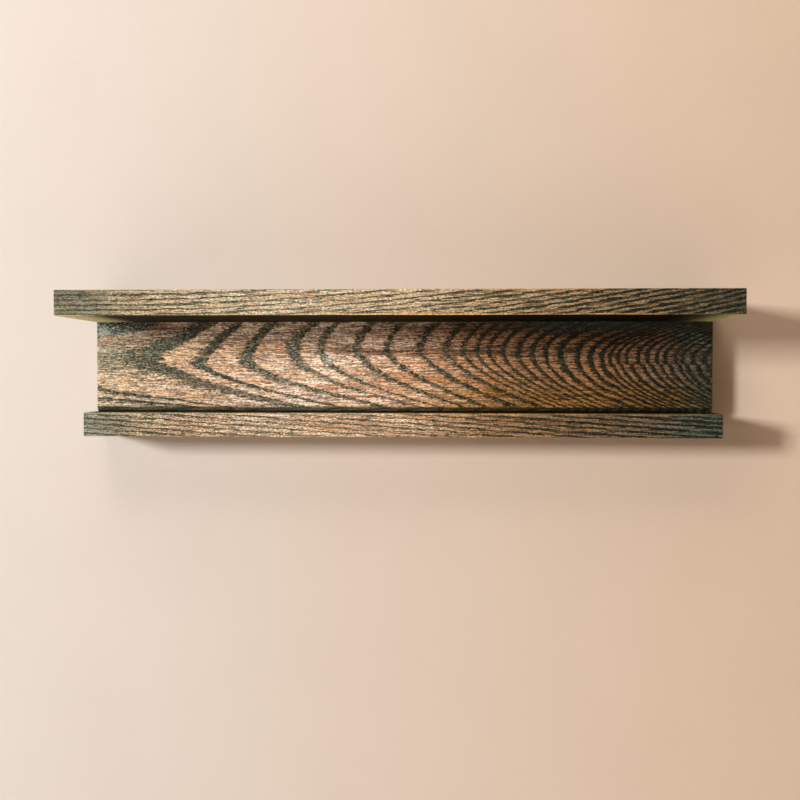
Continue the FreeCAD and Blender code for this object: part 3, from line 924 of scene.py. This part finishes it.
WALL_GAP = 0.0001
WALL_HALF_WIDTH = 3.0
WALL_TOP = 1.6
FLOOR_LEVEL = -1.3
FLOOR_REACH = 4.0
OPENING_MARGIN = 0.0012
# The wall is painted warmer towards the right, a painted warm cast of light and shade on that side
WALL_LEFT = tone(200, 191, 184)
WALL_RIGHT = tone(207, 185, 164)
WALL_BLEND = (-450, 450)
FLOOR_TONE = tone(228, 222, 214)
PLASTER_SHADE = tone(248, 248, 248)
PLASTER_RELIEF = 0.15


def plaster(name, left, right, see_through):
    """A matt pale finish that changes a little along x. From its back it can be seen through, if asked."""
    graph = Graph(name)
    place = graph.place()
    mottle = graph.grain(place, (120, 120, 120), seed=4.0, detail=3)
    skin = graph.grain(place, (6, 6, 6), seed=17.0, detail=2)
    colour = graph.mix(left, right, graph.rise(place[0], *WALL_BLEND))
    colour = graph.mix(colour, PLASTER_SHADE, mottle, blend="MULTIPLY")
    graph.bump(skin, PLASTER_RELIEF)
    graph.set(base_color=colour, roughness=0.9, specular_ior_level=0.1)
    if see_through:
        links = graph.tree.links
        switch = graph.node("MixShader")
        links.new(graph.node("NewGeometry").outputs["Backfacing"], switch.inputs[0])
        links.new(graph.shader.outputs[0], switch.inputs[1])
        links.new(graph.node("BsdfTransparent").outputs[0], switch.inputs[2])
        links.new(switch.outputs[0], graph.tree.nodes["Material Output"].inputs["Surface"])
    return graph.material


def panel(name, corners, faces, material):
    mesh = bpy.data.meshes.new(name)
    mesh.from_pydata(corners, [], faces)
    mesh.materials.append(material)
    piece = bpy.data.objects.new(name, mesh)
    bpy.context.scene.collection.objects.link(piece)


def rectangle(left, low, right, high):
    return [(left, low), (right, low), (right, high), (left, high)]


def make_wall():
    """A wall that faces -Y, with an opening that the shelf covers, so that light reaches its back."""
    low, high = cad_box
    outer = rectangle(-WALL_HALF_WIDTH, FLOOR_LEVEL, WALL_HALF_WIDTH, WALL_TOP)
    inner = rectangle(low.x + OPENING_MARGIN, low.z + OPENING_MARGIN,
                      high.x - OPENING_MARGIN, high.z - OPENING_MARGIN)
    corners = [(x, high.y + WALL_GAP, z) for x, z in outer + inner]
    faces = [(i, (i + 1) % 4, (i + 1) % 4 + 4, i + 4) for i in range(4)]
    panel("wall", corners, faces, plaster("wall_plaster", WALL_LEFT, WALL_RIGHT, see_through=True))


def make_floor():
    outline = rectangle(-FLOOR_REACH, -FLOOR_REACH, FLOOR_REACH, FLOOR_REACH)
    corners = [(x, y, FLOOR_LEVEL) for x, y in outline]
    pale = plaster("floor_pale", FLOOR_TONE, FLOOR_TONE, see_through=False)
    panel("floor", corners, [(0, 1, 2, 3)], pale)


make_wall()
make_floor()


# Light

# Square lamps that face the shelf: name, place, width, watts and colour
LAMPS = (
    ("key", (-3.0, -2.625, 0.6), 0.6, 192.0, (0.98, 1.0, 1.0)),
    ("fill", (0.25, -2.4, -0.35), 1.6, 4.5, (1.0, 0.66, 0.42)),
    ("overhead", (-0.4, -1.1, 1.5), 0.8, 13.0, (1.0, 0.92, 0.82)),
    ("rear_fill", (0.9, 2.0, 0.8), 1.2, 40.0, (1.0, 0.98, 0.96)),
)
AMBIENT = 0.13
AMBIENT_COLOUR = (1.0, 0.58, 0.32, 1.0)
BACKGROUND = tone(238, 232, 226)


def soft_light(name, place, width, watts, colour):
    lamp = bpy.data.lights.new(name, "AREA")
    lamp.shape = "SQUARE"
    lamp.size = width
    lamp.energy = watts
    lamp.color = colour
    holder = bpy.data.objects.new(name, lamp)
    holder.location = place
    holder.rotation_euler = (-Vector(place)).to_track_quat("-Z", "Y").to_euler()
    bpy.context.scene.collection.objects.link(holder)


def make_world():
    """Warm ambient light, and a plain pale background where a ray sees past the stage."""
    world = bpy.data.worlds.new("studio")
    bpy.context.scene.world = world
    world.use_nodes = True
    tree = world.node_tree
    light = tree.nodes["Background"]
    light.inputs["Color"].default_value = AMBIENT_COLOUR
    light.inputs["Strength"].default_value = AMBIENT
    seen = tree.nodes.new("ShaderNodeBackground")
    seen.inputs["Color"].default_value = BACKGROUND
    switch = tree.nodes.new("ShaderNodeMixShader")
    ray = tree.nodes.new("ShaderNodeLightPath")
    sight = ray.outputs["Is Camera Ray"]
    for other in ("Is Glossy Ray", "Is Transmission Ray"):
        either = tree.nodes.new("ShaderNodeMath")
        either.operation = "MAXIMUM"
        tree.links.new(sight, either.inputs[0])
        tree.links.new(ray.outputs[other], either.inputs[1])
        sight = either.outputs[0]
    tree.links.new(sight, switch.inputs[0])
    tree.links.new(light.outputs[0], switch.inputs[1])
    tree.links.new(seen.outputs[0], switch.inputs[2])
    tree.links.new(switch.outputs[0], tree.nodes["World Output"].inputs["Surface"])


for lamp_values in LAMPS:
    soft_light(*lamp_values)
make_world()


# The camera, in front of the shelf and a little to its right: place in metres, angles in degrees

CAMERA_PLACE = (0.0466, -1.0717, -0.009)
CAMERA_YAW = -2.586
CAMERA_PITCH = -1.297
CAMERA_ROLL = -0.056
FOCAL_PIXELS = 1060.0
IMAGE_PIXELS = 800.0
SENSOR = 36.0


def make_camera():
    yaw, pitch, roll = (math.radians(angle) for angle in (CAMERA_YAW, CAMERA_PITCH, CAMERA_ROLL))
    ahead = Vector((math.sin(yaw) * math.cos(pitch), math.cos(yaw) * math.cos(pitch), math.sin(pitch)))
    level = Vector((math.cos(yaw), -math.sin(yaw), 0.0))
    down = ahead.cross(level)
    right = math.cos(roll) * level + math.sin(roll) * down
    up = right.cross(ahead)
    data = bpy.data.cameras.new("camera")
    data.sensor_width = SENSOR
    data.lens = SENSOR * FOCAL_PIXELS / IMAGE_PIXELS
    camera = bpy.data.objects.new("camera", data)
    turn = Matrix((right, up, -ahead)).transposed()
    camera.matrix_world = Matrix.Translation(CAMERA_PLACE) @ turn.to_4x4()
    bpy.context.scene.collection.objects.link(camera)
    bpy.context.scene.camera = camera


make_camera()
bpy.context.scene.view_settings.view_transform = "Standard"
